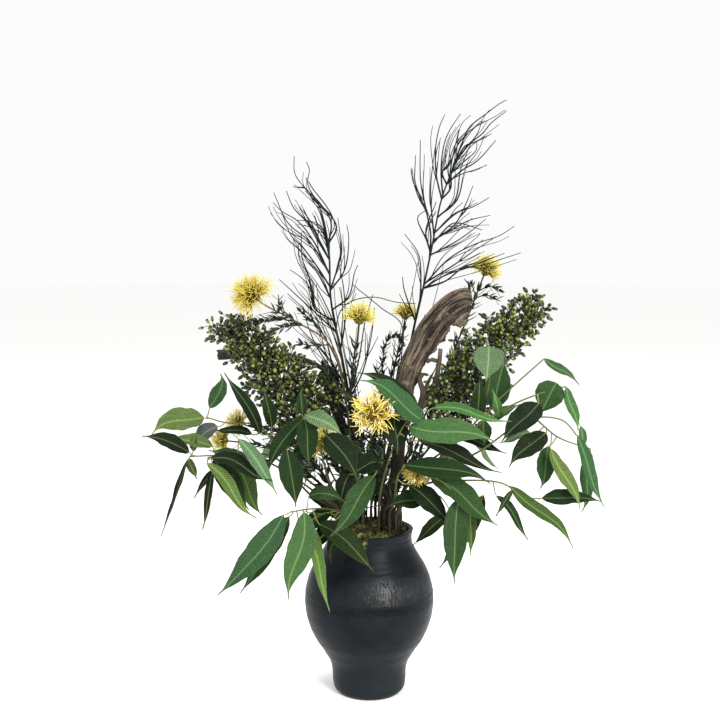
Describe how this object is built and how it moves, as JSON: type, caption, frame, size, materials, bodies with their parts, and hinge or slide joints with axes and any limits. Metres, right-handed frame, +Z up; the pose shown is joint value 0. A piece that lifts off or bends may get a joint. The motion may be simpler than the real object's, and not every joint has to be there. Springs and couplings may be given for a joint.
{
  "type": "ikebana arrangement",
  "caption": "Ikebana arrangement of eucalyptus leaves, thread-petalled flowers, berries, bare wands, driftwood and moss standing in a dark stoneware vase, for display on a flat surface.",
  "frame": {"origin": "middle of the vase's foot, on the surface it stands on", "axes": "+Z up, -Y the front that faces the viewer, +X to the viewer's right"},
  "size_m": [0.685, 0.3205, 0.92],
  "materials": {
    "stoneware": "matt",
    "foam": "matt",
    "moss": "matt",
    "leaf": "satin",
    "petal": "matt",
    "flower_stem": "matt",
    "berry": "satin",
    "wand": "matt",
    "driftwood": "rough",
    "twig": "matt"
  },
  "bodies": {
    "root": {"vase": "stoneware", "foam": "foam", "moss": "moss", "driftwood": "driftwood", "bark": "driftwood", "berries_left": "berry", "berries_right": "berry", "wands_left": "wand", "wands_right": "wand", "twig_arching": "twig", "twig_straight": "twig", "leaves_left_high": "leaf", "leaves_left_low": "leaf", "leaves_left_middle": "leaf", "leaves_left_front": "leaf", "leaves_front_tall": "leaf", "leaves_front_middle": "leaf", "leaves_centre": "leaf", "leaves_right_front": "leaf", "leaves_right_tall": "leaf", "leaves_right_middle": "leaf", "leaves_right_low": "leaf", "leaves_right_hanging": "leaf", "leaves_back_right": "leaf", "leaves_back_left": "leaf", "flower_left_high": "petal", "flower_left_high_stem": "flower_stem", "flower_top_left": "petal", "flower_top_left_stem": "flower_stem", "flower_top_middle": "petal", "flower_top_middle_stem": "flower_stem", "flower_right_high": "petal", "flower_right_high_stem": "flower_stem", "flower_centre": "petal", "flower_centre_stem": "flower_stem", "flower_right_behind": "petal", "flower_right_behind_stem": "flower_stem", "flower_left_behind": "petal", "flower_left_behind_stem": "flower_stem", "flower_left_low": "petal", "flower_left_low_stem": "flower_stem", "flower_front_left": "petal", "flower_front_left_stem": "flower_stem", "flower_front_right": "petal", "flower_front_right_stem": "flower_stem"}
  },
  "joints": []
}
